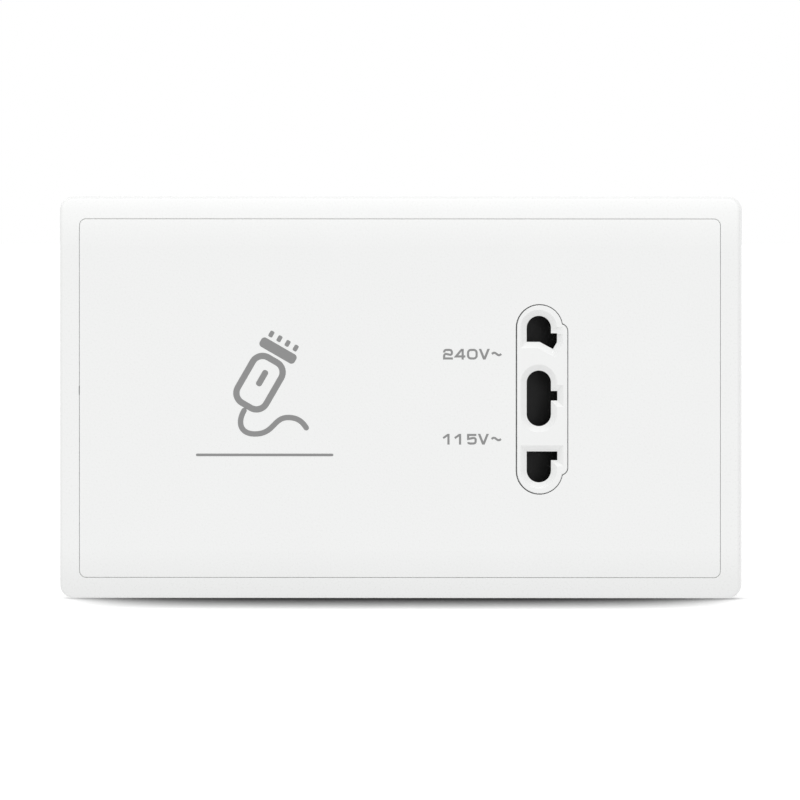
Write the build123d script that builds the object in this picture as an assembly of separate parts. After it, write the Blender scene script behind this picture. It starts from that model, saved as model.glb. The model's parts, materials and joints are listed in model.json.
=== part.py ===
"""Two-gang dual-voltage shaver socket: a wall plate with a clip-on cover, a shuttered three-aperture
socket and an isolating transformer in a housing that goes into the wall box.

Millimetres. X runs to the right and Z up, seen from the room. Y runs into the wall. The origin is the
middle of the wall plane, halfway between the two fixing holes, so the plate lies in front of Y = 0 and
the housing behind it.
"""
from build123d import *

import math
import os

# Plate as a whole
PLATE_W = 146.0
PLATE_H = 86.0
PLATE_T = 10.5  # wall plane to the flat of the face
PLATE_CORNER_R = 3.0
PLATE_DRAFT = 2.0  # degrees, the sides close in towards the face
PLATE_EDGE_R = 0.8
ROLL_R = 20.0  # the face rolls back along its top and bottom edges
ROLL_W = 10.4  # how far the roll reaches in from those edges
FACE_Y = -PLATE_T
FAR = 100.0  # longer than any cut has to be
OVER = 1.0  # how far a cut or a root reaches past a surface
ROOT = 0.5  # how deep a thin rib or a leg is sunk into what it stands on
NEAR = 0.01  # edges closer than this are taken to lie in the same place

# Front cover and the tray that it lies in
COVER_W = 137.0
COVER_H = 76.6
COVER_CORNER_R = 1.4
COVER_T = 2.2
COVER_EDGE_R = 0.2
COVER_GAP = 0.06
SKIRT_T = 1.4
SEAT_GAP = 0.1
COVER_RIB_XS = (-50.0, -33.0, -16.0, 1.0, 51.0)
COVER_RIB_T = 1.0
COVER_RIB_H = 1.2
COVER_RIB_HALF_L = 31.8
PRY_NOTCH_Z = 1.7
PRY_NOTCH_W = 1.9
PRY_NOTCH_T = 0.08

# Mounting frame
RIM_T = 1.8
TRAY_WALL = 1.2
TRAY_CORNER_R = 2.0
SKIN_T = 2.0
FLOOR_FRONT_Y = -4.5
FLOOR_BACK_Y = -2.5
BACK_RIB_XS = (-66.0, -36.0, 0.0, 36.0, 66.0)
BACK_RIB_T = 1.2
BACK_RIB_Y = -0.6
BACK_RIB_Z = 33.0  # clear of the rear housing

# Fixing to the wall box
FIXING_SPACING = 120.6
FIXING_HOLE_R = 2.1
FIXING_BOSS_R = 5.0
FIXING_HEAD_R = 4.0
FIXING_SEAT_Y = -3.4

# Snap legs of the cover
LEG_XS = (-54.0, -18.0, 18.0, 54.0)
LEG_W = 8.0
LEG_T = 1.4
LEG_Z = 33.8  # inner face of a leg
LEG_BARB = 1.1
LEG_TIP_BARB = 0.1
LEG_HOOK_Y = -2.3
LEG_TIP_Y = -0.7
LEG_FLEX = 0.8
LEG_GAP = 0.3

# Socket boss, the raceway shape that shows through the cover
BOSS_X = 29.9
BOSS_Z = -0.2
BOSS_HALF_W = 4.86
BOSS_HALF_H = 20.17
BOSS_GAP = 0.2
BOSS_HOLE_DX = -0.05  # the cover's hole lies a hair to the left of the boss
BOSS_WALL = 1.0
BOSS_FACE_T = 1.6
BOSS_EDGE_R = 0.25
BUMP_X = 5.96  # the bump's side, from the middle of the boss
BUMP_HALF_H = 16.1
BUMP_R = 1.5

# Apertures in the boss, for round pins, flat pins and slanted flat pins
PIN_X = 29.7
PIN_HALF_W = 2.6
TOP_DOME_Z = 17.64
TOP_BASE_Z = 12.07
MIDDLE_HALF_H = 5.95
BOTTOM_FLAT_Z = -11.35
BOTTOM_DOME_Z = -17.98
NOTCH_X = 3.95
MIDDLE_NOTCH_ZS = (-0.47, 1.58)
BOTTOM_NOTCH_Z = -13.23
SLANT_NOTCH_Z = 13.92
SLANT_START = (0.17, 12.07)
SLANT_TIP = (3.02, 10.53)
SLANT_SHOULDER = (3.88, 12.03)
FUNNEL_DEPTH = 1.1
FUNNEL_SLOPE = 50.0  # degrees from the pin's line

# Socket box behind the boss
BOX_X = 27.0
BOX_W = 33.0
BOX_H = 46.0
BOX_WALL = 1.5
BOX_CORNER_R = 2.0
BOX_FRONT_Y = -8.1
CAVITY_FRONT_Y = -6.9
CAVITY_BACK_Y = -3.0
BOX_BACK_Y = -2.0
FLANGE_FRONT_Y = -5.9
FLANGE_REACH = 2.5
FLANGE_CORNER_R = 3.0
WINDOW_GAP = 0.3
POST_R = 2.2
POST_DX = 12.9
POST_DZ = 19.4
POST_HOLE_GAP = 0.2
EAR_Z = 26.5
EAR_R = 3.2
SOCKET_BOSS_R = 2.8
SOCKET_BOSS_Y = 2.0

# Small self-tapping screws
SCREW_R = 1.0
SCREW_PILOT_R = 1.05
SCREW_CLEAR_R = 1.3
SCREW_HEAD_R = 2.0
SCREW_HEAD_T = 1.3
SCREW_HEAD_EDGE = 0.5
SCREW_POINT = 0.6
CROSS_W = 0.5
CROSS_L = 2.2
CROSS_DEPTH = 0.7
HOLE_END_T = 0.8  # what is left at the end of a blind screw hole

# Shutter, which slides left as a plug goes in
SLIDE_GAP = 0.1
SHUTTER_X0 = 24.4
SHUTTER_RAMP_X = 26.6
SHUTTER_X1 = 34.4
SHUTTER_HALF_H = 21.3
SHUTTER_EDGE = 0.3
RAMP_TIP_T = 0.5
RAMP_CREST = 0.6
RAMP_POCKETS = ((9.6, 18.7), (-6.9, 6.9), (-18.9, -10.4))
SPRING_Y = -4.95
SPRING_R = 1.3
SPRING_WIRE_R = 0.22
SPRING_TURNS = 5
SPRING_GAP = 0.1
PEG_R = 0.9
PEG_TIP_X = 21.5
BRIDGE_T = 0.4
BRIDGE_ZS = (5.8, 14.2)
BRIDGE_YS = (-5.7, -4.3)
STAKE_R = 0.5
STAKE_T = 0.3
SWITCH_ZS = {"switch_contact_line": 7.0, "switch_contact_load": 13.0}
SWITCH_XS = (15.3, 16.3)
SWITCH_HALF_H = 0.9
SWITCH_FRONT_Y = -6.4
SWITCH_TAIL_Y = 6.0

# Contact carrier and the spring contacts in it
CARRIER_BACK_Y = -0.6
LIP_GAP = 0.1
CHAMBER_XS = (24.8, 34.6)
CHAMBER_WALL = 1.2
CHAMBER_CORNER_R = 1.0
CHAMBER_HALF_H = 21.6
CHAMBER_FRONT_Y = 0.4
CHAMBER_BACK_Y = 12.0
CHAMBER_ZS = ((9.0, 20.4), (-7.6, 7.6), (-20.4, -9.0))
PIN_WINDOW_XS = (26.8, 34.2)
PIN_WINDOW_ZS = ((10.2, 18.2), (-6.4, 6.4), (-18.4, -11.0))
LID_BACK_Y = 13.4
LID_PAD_GAP = 0.1
CONTACT_ZS = {"contact_240": 14.7, "contact_common": 0.0, "contact_115": -14.7}
CONTACT_HALF_H = {"contact_240": 4.8, "contact_common": 6.8, "contact_115": 4.8}
CONTACT_T = 0.5
CONTACT_BASE_Y = 11.4
CONTACT_LEAF = ((4.1, CONTACT_BASE_Y), (4.3, 5.5), (1.7, 2.8), (2.5, 0.9))
CONTACT_BEND_R = 0.6
TAIL_HALF_W = 0.4
TAIL_HALF_H = 1.5
TAIL_Y = 17.0

# Rear housing: a deep part for the transformer and a shallow part behind the socket
HOUSING_W = 106.0
HOUSING_H = 64.0
HOUSING_STEP_X = 11.0
HOUSING_WALL = 2.0
HOUSING_CORNER_R = 3.0
HOUSING_EDGE_R = 1.5
DEEP_Y = 38.0
SHALLOW_Y = 22.0
HOUSING_EAR_X = 57.5
HOUSING_EAR_Z = 22.0
HOUSING_EAR_R = 4.2
HOUSING_EAR_T = 2.0
FRAME_BOSS_R = 2.8
FRAME_BOSS_Y = -7.6
HOUSING_SCREW_Y = -6.6
SOCKET_SCREW_Y = 0.8
CARRIER_SCREW_Y = -6.5
VENT_COUNT = 9
VENT_PITCH = 4.5
VENT_W = 2.0
VENT_YS = (9.0, 29.0)

# Terminals, in a tower on the shallow part
TERMINAL_XS = {"terminal_live": 20.0, "terminal_neutral": 31.0, "terminal_earth": 42.0}
TOWER_XS = (14.5, 47.5)
TOWER_HALF_H = 8.0
TOWER_Y = 33.0
TOWER_CORNER_R = 1.5
TERMINAL_HALF_W = 3.5
TERMINAL_HALF_H = 6.0
TERMINAL_EDGE = 0.5
TERMINAL_YS = (22.6, 31.6)
POCKET_GAP = 0.1
WIRE_Y = 26.2
WIRE_R = 2.0
WIRE_BORE_L = 9.0
WIRE_ENTRY_R = 2.7
CLAMP_R = 1.7
CLAMP_GAP = 0.05
CLAMP_TIP_Y = 28.4
CLAMP_HEAD_Y = 35.4
CLAMP_HEAD_R = 3.0
CLAMP_HEAD_T = 1.6
CLAMP_HEAD_EDGE = 0.4
CLAMP_WELL_R = 3.3
CLAMP_SLOT_W = 0.9
TAB_Z = 3.5
TAB_T = 0.8
TAB_HALF_W = 2.5
TAB_Y = 16.0

# Transformer
CORE_X = -23.0
CORE_YS = (8.0, 26.0)
CORE_MID_Y = sum(CORE_YS) / 2
CORE_W = 54.0
CORE_LEG = 9.0  # also half the tongue's width
CORE_WINDOW_H = 27.0
CORE_HOLE_R = 1.7
BOBBIN_GAP = 0.15
BOBBIN_WALL = 1.0
BOBBIN_FLANGE_T = 1.2
BOBBIN_CORNER_R = 0.5
FLANGE_END_R = 1.5
BOBBIN_HALF_L = 13.3
BOBBIN_HALF_X = 17.7
BOBBIN_HALF_Y = 17.2
COIL_HALF_X = 17.0
COIL_HALF_Y = 16.4
COIL_CORNER_R = 6.0
STRAP_T = 0.7
STRAP_W = 12.0
STRAP_LIP = 5.0
SUPPORT_DX = 22.5
SUPPORT_Z = 7.0
SUPPORT_R = 2.5
TAG_DXS = (-12.0, 0.0, 12.0)
TAG_Y = 31.0
TAG_HALF_T = 0.4
TAG_ROOT_Z = 12.6
TAG_TIP_Z = 16.3
CUTOUT_HALF_W = 4.0
CUTOUT_ZS = (-9.0, -4.0)
CUTOUT_T = 1.8
CUTOUT_EDGE_R = 0.6

# Leads, each of which runs straight from bend to bend
LEAD_R = 0.6
LEAD_BEND_R = 1.2
LEAD_HIGH_Y = 14.8
LEAD_LOW_Y = 16.3
LIVE_X = 19.0
LIVE_TURN_Y = 13.5
SWITCH_LEAD_Y = 9.0
NEUTRAL_X = 32.5
NEUTRAL_RUN = (14.2, -7.3)  # its Y and Z
CORE_SIDE_X = 6.0
PRIMARY_SIDE_X = 7.0
FRONT_X = -1.0
DIP_Y = 3.0
COIL_FRONT_Y = -1.35
CUTOUT_LEAD_Y = -0.5
CUTOUT_LEAD_IN = 3.5
CUTOUT_LEAD_OUT = 2.0
UNDER_CORE_Z = -26.5
OVER_CORE_Z = {"lead_240": 26.5, "lead_115": 24.5, "lead_common": 28.4}
RISE_X = {"lead_115": 25.0, "lead_common": 27.4}


def block(x, y, z):
    """A box between two corners, each argument being a pair of limits."""
    size = [high - low for low, high in (x, y, z)]
    middle = [(low + high) / 2 for low, high in (x, y, z)]
    return Pos(*middle) * Box(*size)


def slab(sketch, front_y, back_y):
    """A front-view sketch, X to the right and Z up, given depth from front_y to back_y."""
    return extrude(Plane.XZ.offset(-back_y) * sketch, back_y - front_y)


def rod(x, z, radius, front_y, back_y):
    """A round bar or hole that runs into the wall."""
    return slab(Pos(x, z) * Circle(radius), front_y, back_y)


def about(middle, reach):
    """The two limits either side of a middle."""
    return middle - reach, middle + reach


def on_sides(x, reach_x, reach_z):
    """The four places a given way to the left and right of x, and above and below zero."""
    return [(x + side * reach_x, rise * reach_z) for side in (-1, 1) for rise in (-1, 1)]


def ends_at(solid, y):
    """The edges of a solid that lie wholly in the plane at y."""
    boxes = [(edge, edge.bounding_box()) for edge in solid.edges()]
    return [edge for edge, box in boxes if abs(box.min.Y - y) < NEAR and abs(box.max.Y - y) < NEAR]


def behind_face(inset):
    """Everything behind the face, or behind a surface that lies inset mm under it. The face is flat,
    and rolls back on an arc along its top and bottom edges."""
    radius = ROLL_R - inset
    centre_y = FACE_Y + ROLL_R
    centre_z = PLATE_H / 2 - ROLL_W
    reach = math.asin((ROLL_W + OVER) / radius)

    def on_arc(angle, side):
        return (centre_y - radius * math.cos(angle), side * (centre_z + radius * math.sin(angle)))

    top, bottom = on_arc(reach, 1), on_arc(reach, -1)
    outline = [
        ThreePointArc(bottom, on_arc(reach / 2, -1), on_arc(0, -1)),
        Line(on_arc(0, -1), on_arc(0, 1)),
        ThreePointArc(on_arc(0, 1), on_arc(reach / 2, 1), top),
        Polyline(top, (DEEP_Y, top[1]), (DEEP_Y, bottom[1]), bottom),
    ]
    return extrude(make_face(Plane.YZ * Curve(children=outline)), PLATE_W, both=True)


def face_edges(solid, within_x=PLATE_W):
    """The edges of a piece's face that lie within a distance of the middle, without the seams where
    the roll starts."""
    seam_z = PLATE_H / 2 - ROLL_W
    found = []
    for edge in solid.edges():
        box = edge.bounding_box()
        at_face = max(vertex.Y for vertex in edge.vertices()) < FLOOR_FRONT_Y - OVER
        seam = box.size.Z < NEAR and abs(abs(edge.center().Z) - seam_z) < NEAR
        if at_face and not seam and max(box.max.X, -box.min.X) < within_x:
            found.append(edge)
    return found


def boss_outline(grow=0.0):
    """The boss, seen from the front: a raceway with a long bump on its right-hand side."""
    raceway = SlotOverall(2 * BOSS_HALF_H, 2 * BOSS_HALF_W, rotation=90)
    bump = Pos(BUMP_X / 2, 0) * Rectangle(BUMP_X, 2 * BUMP_HALF_H)
    bump = fillet(bump.vertices().sort_by(Axis.X)[-2:], BUMP_R)
    outline = Pos(BOSS_X, BOSS_Z) * (raceway + bump)
    return offset(outline, grow) if grow else outline


def dome(tip_z, flat_z):
    """An aperture with a round end at tip_z and a square end at flat_z."""
    side = 1 if tip_z > flat_z else -1
    left, right = [(x, tip_z - side * PIN_HALF_W) for x in (-PIN_HALF_W, PIN_HALF_W)]
    lines = [
        ThreePointArc(left, (0, tip_z), right),
        Polyline(right, (PIN_HALF_W, flat_z), (-PIN_HALF_W, flat_z), left),
    ]
    return make_face(Curve(children=lines))


def notch(low_z, high_z):
    """The slot to the right of an aperture that lets the edge of a flat pin through."""
    return Pos(NOTCH_X / 2, (low_z + high_z) / 2) * Rectangle(NOTCH_X, high_z - low_z)


def apertures():
    """The three apertures, seen from the front, from the top down."""
    corners = [(0, SLANT_NOTCH_Z), (0, TOP_BASE_Z), SLANT_START, SLANT_TIP, SLANT_SHOULDER,
               (SLANT_SHOULDER[0], SLANT_NOTCH_Z)]
    top = dome(TOP_DOME_Z, TOP_BASE_Z) + make_face(Polyline(corners, close=True))
    middle = SlotOverall(2 * MIDDLE_HALF_H, 2 * PIN_HALF_W, rotation=90) + notch(*MIDDLE_NOTCH_ZS)
    bottom = dome(BOTTOM_DOME_Z, BOTTOM_FLAT_Z) + notch(BOTTOM_NOTCH_Z, BOTTOM_FLAT_Z)
    return [Pos(PIN_X, 0) * shape for shape in (top, middle, bottom)]


def screw(x, z, seat_y, tip_y):
    """A cross-head screw whose head bears on seat_y and whose point is at tip_y."""
    out = -1 if tip_y > seat_y else 1
    head_end = seat_y + out * SCREW_HEAD_T
    head = rod(x, z, SCREW_HEAD_R, *sorted((seat_y, head_end)))
    head = fillet(ends_at(head, head_end), SCREW_HEAD_EDGE)
    for size in ((CROSS_L, CROSS_W), (CROSS_W, CROSS_L)):
        head -= slab(Pos(x, z) * Rectangle(*size), *sorted((head_end, head_end - out * CROSS_DEPTH)))
    shank = rod(x, z, SCREW_R, *sorted((seat_y, tip_y)))
    shank = chamfer(ends_at(shank, tip_y), SCREW_POINT)
    return (head + shank).solid()


def frame_bosses():
    """Bosses, ribs and posts that stand on the frame's floor, in front of it and behind."""
    added = []
    rim_x, rim_z = PLATE_W / 2 - RIM_T + ROOT, PLATE_H / 2 - RIM_T + ROOT
    rib_ys = (FLOOR_BACK_Y, BACK_RIB_Y)
    for side in (-1, 1):
        x = side * FIXING_SPACING / 2
        added.append(rod(x, 0, FIXING_BOSS_R, FLOOR_BACK_Y, 0))
        added.append(block(sorted((x, side * rim_x)), rib_ys, about(0, BACK_RIB_T / 2)))
        for rib_x in BACK_RIB_XS:
            rib_zs = sorted((side * BACK_RIB_Z, side * rim_z))
            added.append(block(about(rib_x, BACK_RIB_T / 2), rib_ys, rib_zs))
    for x, z in on_sides(0, HOUSING_EAR_X, HOUSING_EAR_Z):
        added.append(rod(x, z, FRAME_BOSS_R, FRAME_BOSS_Y, FLOOR_FRONT_Y))
    for x, z in on_sides(CORE_X, SUPPORT_DX, SUPPORT_Z):
        added.append(rod(x, z, SUPPORT_R, FLOOR_BACK_Y, CORE_YS[0]))
    for z in (-EAR_Z, EAR_Z):
        added.append(rod(BOX_X, z, SOCKET_BOSS_R, FLOOR_BACK_Y, SOCKET_BOSS_Y))
    return added


def frame_cuts():
    """Holes, wells, slots and the socket's window in the mounting frame."""
    cuts = []
    for x in about(0, FIXING_SPACING / 2):
        cuts.append(rod(x, 0, FIXING_HOLE_R, -FAR, OVER))
        cuts.append(rod(x, 0, FIXING_HEAD_R, -FAR, FIXING_SEAT_Y))
    window_xs, window_zs = about(BOX_X, BOX_W / 2 + WINDOW_GAP), about(0, BOX_H / 2 + WINDOW_GAP)
    cuts.append(block(window_xs, (-FAR, 0), window_zs))
    for x in LEG_XS:
        for side in (-1, 1):
            slot_zs = sorted((side * (LEG_Z - LEG_FLEX), side * (LEG_Z + LEG_T + LEG_GAP)))
            cuts.append(block(about(x, LEG_W / 2 + LEG_GAP), (-FAR, 0), slot_zs))
    for x, z in on_sides(0, HOUSING_EAR_X, HOUSING_EAR_Z):
        cuts.append(rod(x, z, SCREW_PILOT_R, FRAME_BOSS_Y + HOLE_END_T, 0))
    for z in (-EAR_Z, EAR_Z):
        cuts.append(rod(BOX_X, z, SCREW_PILOT_R, -FAR, SOCKET_BOSS_Y - HOLE_END_T))
    notch_x = -(COVER_W / 2 + COVER_GAP + PRY_NOTCH_T)
    cuts.append(block((notch_x, 0), (-FAR, FLOOR_FRONT_Y), about(PRY_NOTCH_Z, PRY_NOTCH_W / 2)))
    return cuts


def mounting_frame():
    """The tray that screws to the wall box. Its band shows all round the cover."""
    plate = RectangleRounded(PLATE_W, PLATE_H, PLATE_CORNER_R)
    body = extrude(Plane.XZ * plate, PLATE_T + 2 * OVER, taper=PLATE_DRAFT) & behind_face(0)
    body = fillet(face_edges(body), PLATE_EDGE_R)
    recess_w, recess_h = COVER_W + 2 * COVER_GAP, COVER_H + 2 * COVER_GAP
    body -= slab(RectangleRounded(recess_w, recess_h, COVER_CORNER_R + COVER_GAP), -FAR, FLOOR_FRONT_Y)
    body = fillet(face_edges(body, recess_w / 2 + NEAR), COVER_EDGE_R)
    open_back = RectangleRounded(PLATE_W - 2 * RIM_T, PLATE_H - 2 * RIM_T, TRAY_CORNER_R)
    tray = RectangleRounded(recess_w + 2 * TRAY_WALL, recess_h + 2 * TRAY_WALL, COVER_CORNER_R + TRAY_WALL)
    body -= slab(open_back, FLOOR_BACK_Y, OVER)
    body -= slab(open_back - tray, -FAR, 0) & behind_face(SKIN_T)
    body += frame_bosses()
    body -= frame_cuts()
    return body.solid()


def cover_leg(x, side):
    """A springy leg with a barb that hooks behind the frame's floor. Side is 1 at the top."""
    outer = LEG_Z + LEG_T
    root_y = FACE_Y + COVER_T - ROOT
    points = [(root_y, LEG_Z), (root_y, outer), (LEG_HOOK_Y, outer), (LEG_HOOK_Y, outer + LEG_BARB),
              (LEG_TIP_Y, outer + LEG_TIP_BARB), (LEG_TIP_Y, LEG_Z)]
    profile = make_face(Polyline([(y, side * z) for y, z in points], close=True))
    return Pos(x, 0, 0) * extrude(Plane.YZ * profile, LEG_W / 2, both=True)


def front_cover():
    """The clip-on cover: a shallow shell with a skirt, ribs, snap legs and a hole for the boss."""
    outline = RectangleRounded(COVER_W, COVER_H, COVER_CORNER_R)
    body = slab(outline, FACE_Y - OVER, FLOOR_FRONT_Y - SEAT_GAP) & behind_face(0)
    body = fillet(face_edges(body), COVER_EDGE_R)
    inside = Rectangle(COVER_W - 2 * SKIRT_T, COVER_H - 2 * SKIRT_T)
    body -= slab(inside, FACE_Y - OVER, 0) & behind_face(COVER_T)
    rib_ys = (FACE_Y + COVER_T - ROOT, FACE_Y + COVER_T + COVER_RIB_H)
    body += [block(about(x, COVER_RIB_T / 2), rib_ys, about(0, COVER_RIB_HALF_L)) for x in COVER_RIB_XS]
    body += [cover_leg(x, side) for x in LEG_XS for side in (-1, 1)]
    body -= slab(Pos(BOSS_HOLE_DX, 0) * boss_outline(BOSS_GAP), -FAR, 0)
    return body.solid()


def box_outline(inset=0.0):
    """The socket box, seen from the front, or an outline that lies inset mm inside it."""
    return Pos(BOX_X, 0) * RectangleRounded(BOX_W - 2 * inset, BOX_H - 2 * inset, BOX_CORNER_R - inset / 2)


def socket_flange():
    """The flange that rests on the frame's floor, with an ear above and below for a screw."""
    flange = RectangleRounded(BOX_W + 2 * FLANGE_REACH, BOX_H + 2 * FLANGE_REACH, FLANGE_CORNER_R)
    flange += Rectangle(2 * EAR_R, 2 * EAR_Z)
    for z in (-EAR_Z, EAR_Z):
        flange += Pos(0, z) * Circle(EAR_R)
        flange -= Pos(0, z) * Circle(SCREW_CLEAR_R)
    return slab(Pos(BOX_X, 0) * flange, FLANGE_FRONT_Y, FLOOR_FRONT_Y)


def socket_face():
    """The boss with its apertures, and the box behind it that the shutter slides in."""
    body = slab(boss_outline(), FACE_Y, CAVITY_FRONT_Y) + slab(box_outline(), BOX_FRONT_Y, BOX_BACK_Y)
    body += socket_flange()
    body -= slab(box_outline(BOX_WALL), CAVITY_FRONT_Y, 0)
    body -= slab(boss_outline(-BOSS_WALL), FACE_Y + BOSS_FACE_T, 0)
    for x, z in on_sides(BOX_X, POST_DX, POST_DZ):
        body += rod(x, z, POST_R, CAVITY_FRONT_Y, CAVITY_BACK_Y)
        body -= rod(x, z, SCREW_PILOT_R, CAVITY_FRONT_Y + POST_HOLE_GAP, 0)
    for shape in apertures():
        body -= slab(shape, -FAR, BOX_FRONT_Y)
        mouth = Plane.XZ.offset(-FACE_Y - FUNNEL_DEPTH) * shape
        body -= extrude(mouth, FUNNEL_DEPTH, taper=-FUNNEL_SLOPE)
    rim = Plane.XZ.offset(-FACE_Y) * boss_outline().wire()
    edges = [edge for edge in ends_at(body, FACE_Y) if rim.distance_to(edge @ 0.5) < NEAR]
    return fillet(edges, BOSS_EDGE_R).solid()


def ramp_cut(low_z, high_z):
    """A pocket in the shutter. Its floor is the ramp that a pin pushes aside."""
    front_y = CAVITY_FRONT_Y + SLIDE_GAP
    tip_y = CAVITY_BACK_Y - SLIDE_GAP - RAMP_TIP_T
    clear_x, clear_y = SHUTTER_X1 + OVER, front_y - OVER
    points = [(SHUTTER_RAMP_X, clear_y), (SHUTTER_RAMP_X, front_y + RAMP_CREST), (SHUTTER_X1, tip_y),
              (clear_x, tip_y), (clear_x, clear_y)]
    return extrude(Plane.XY.offset(low_z) * make_face(Polyline(points, close=True)), high_z - low_z)


def shutter():
    """The shutter: three ramps between walls, a peg for its spring and a stake for the bridge."""
    depth = (CAVITY_FRONT_Y + SLIDE_GAP, CAVITY_BACK_Y - SLIDE_GAP)
    body = block((SHUTTER_X0, SHUTTER_X1), depth, about(0, SHUTTER_HALF_H))
    body = chamfer(body.edges().filter_by(Axis.Z), SHUTTER_EDGE)
    body -= [ramp_cut(low, high) for low, high in RAMP_POCKETS]
    side = Plane.YZ.offset(SHUTTER_X0)
    body += extrude(side * Pos(SPRING_Y, 0) * Circle(PEG_R), PEG_TIP_X - SHUTTER_X0)
    bridge_middle = (sum(BRIDGE_YS) / 2, sum(BRIDGE_ZS) / 2)
    body += extrude(side * Pos(*bridge_middle) * Circle(STAKE_R), -BRIDGE_T - STAKE_T)
    return body.solid()


def shutter_spring():
    """The return spring, a helix between the box's left wall and the shutter."""
    wall_x = BOX_X - BOX_W / 2 + BOX_WALL
    start_x = wall_x + SPRING_WIRE_R + SPRING_GAP
    length = SHUTTER_X0 - SPRING_WIRE_R - SPRING_GAP - start_x
    centre = (start_x, SPRING_Y, 0)
    path = Helix(length / SPRING_TURNS, length, SPRING_R, center=centre, direction=(1, 0, 0))
    return sweep(Plane(path @ 0, z_dir=path % 0) * Circle(SPRING_WIRE_R), path=path, is_frenet=True)


def switch_bridge():
    """The bronze strip on the shutter that joins the two switch contacts once the shutter is open."""
    strip = block((SHUTTER_X0 - BRIDGE_T, SHUTTER_X0), BRIDGE_YS, BRIDGE_ZS)
    hole = Plane.YZ.offset(SHUTTER_X0) * Pos(sum(BRIDGE_YS) / 2, sum(BRIDGE_ZS) / 2) * Circle(STAKE_R)
    return (strip - extrude(hole, -BRIDGE_T)).solid()


def switch_contact(z):
    """A fixed contact blade, from the shutter's cavity to its tail behind the carrier."""
    return block(SWITCH_XS, (SWITCH_FRONT_Y, SWITCH_TAIL_Y), about(z, SWITCH_HALF_H))


def chamber_block(front_y, back_y):
    """The outer block of the contact chambers, between two depths."""
    outer_xs = (CHAMBER_XS[0] - CHAMBER_WALL, CHAMBER_XS[1] + CHAMBER_WALL)
    body = block(outer_xs, (front_y, back_y), about(0, CHAMBER_HALF_H))
    return fillet(body.edges().filter_by(Axis.Y), CHAMBER_CORNER_R)


def contact_carrier():
    """The moulding that closes the socket box and holds the contacts in three chambers."""
    body = slab(box_outline(), BOX_BACK_Y, CARRIER_BACK_Y)
    body += slab(box_outline(BOX_WALL + LIP_GAP), CAVITY_BACK_Y, BOX_BACK_Y)
    body += chamber_block(CARRIER_BACK_Y, CHAMBER_BACK_Y)
    for limits in CHAMBER_ZS:
        body -= block(CHAMBER_XS, (CHAMBER_FRONT_Y, CHAMBER_BACK_Y), limits)
    for limits in PIN_WINDOW_ZS:
        body -= block(PIN_WINDOW_XS, (CAVITY_BACK_Y, CHAMBER_FRONT_Y), limits)
    for z in SWITCH_ZS.values():
        body -= block(SWITCH_XS, (CAVITY_BACK_Y, CARRIER_BACK_Y), about(z, SWITCH_HALF_H))
    for x, z in on_sides(BOX_X, POST_DX, POST_DZ):
        body -= rod(x, z, SCREW_CLEAR_R, CAVITY_BACK_Y, CARRIER_BACK_Y)
    return body.solid()


def contact_lid():
    """The lid behind the chambers, with a pad that holds each contact and a slot for its tail."""
    body = chamber_block(CHAMBER_BACK_Y, LID_BACK_Y)
    pad_xs = (CHAMBER_XS[0] + LID_PAD_GAP, CHAMBER_XS[1] - LID_PAD_GAP)
    pad_ys = (CONTACT_BASE_Y + CONTACT_T / 2, CHAMBER_BACK_Y)
    for low, high in CHAMBER_ZS:
        body += block(pad_xs, pad_ys, (low + LID_PAD_GAP, high - LID_PAD_GAP))
    for z in CONTACT_ZS.values():
        body -= block(about(PIN_X, TAIL_HALF_W), (0, LID_BACK_Y), about(z, TAIL_HALF_H))
    return body.solid()


def contact(name):
    """A bent brass strip that grips a pin between two leaves, with a tail for its lead."""
    right = [(PIN_X + x, y) for x, y in CONTACT_LEAF]
    left = [(PIN_X - x, y) for x, y in reversed(CONTACT_LEAF)]
    strip = trace(FilletPolyline(*left, *right, radius=CONTACT_BEND_R), CONTACT_T)
    z, half_h = CONTACT_ZS[name], CONTACT_HALF_H[name]
    body = extrude(Plane.XY.offset(z - half_h) * strip, 2 * half_h)
    body += block(about(PIN_X, TAIL_HALF_W), (CONTACT_BASE_Y, TAIL_Y), about(z, TAIL_HALF_H))
    return body.solid()


def housing_ears():
    """The four ears that the rear housing is screwed to the frame by."""
    ears = []
    for x, z in on_sides(0, HOUSING_EAR_X, HOUSING_EAR_Z):
        root_x = math.copysign(HOUSING_W / 2 - OVER, x)
        ear = Pos((x + root_x) / 2, z) * Rectangle(abs(x - root_x), 2 * HOUSING_EAR_R)
        ear = ear + Pos(x, z) * Circle(HOUSING_EAR_R) - Pos(x, z) * Circle(SCREW_CLEAR_R)
        ears.append(slab(ear, FLOOR_BACK_Y, FLOOR_BACK_Y + HOUSING_EAR_T))
    return ears


def terminal_tower():
    """The block that stands on the shallow part, before its pockets are cut."""
    tower = block(TOWER_XS, (SHALLOW_Y - OVER, TOWER_Y), about(0, TOWER_HALF_H))
    return fillet(tower.edges().filter_by(Axis.Y), TOWER_CORNER_R)


def tower_cuts():
    """Pockets, screw wells and wire entries of the tower."""
    cuts = []
    pocket_ys = (SHALLOW_Y - HOUSING_WALL, TERMINAL_YS[1] + POCKET_GAP)
    pocket_zs = about(0, TERMINAL_HALF_H + POCKET_GAP)
    for x in TERMINAL_XS.values():
        cuts.append(block(about(x, TERMINAL_HALF_W + POCKET_GAP), pocket_ys, pocket_zs))
        cuts.append(rod(x, 0, CLAMP_WELL_R, TERMINAL_YS[0], FAR))
        entry = Cylinder(WIRE_ENTRY_R, 2 * (TOWER_HALF_H - TERMINAL_HALF_H))
        cuts.append(Pos(x, WIRE_Y, -TOWER_HALF_H) * entry)
    return cuts


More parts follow.
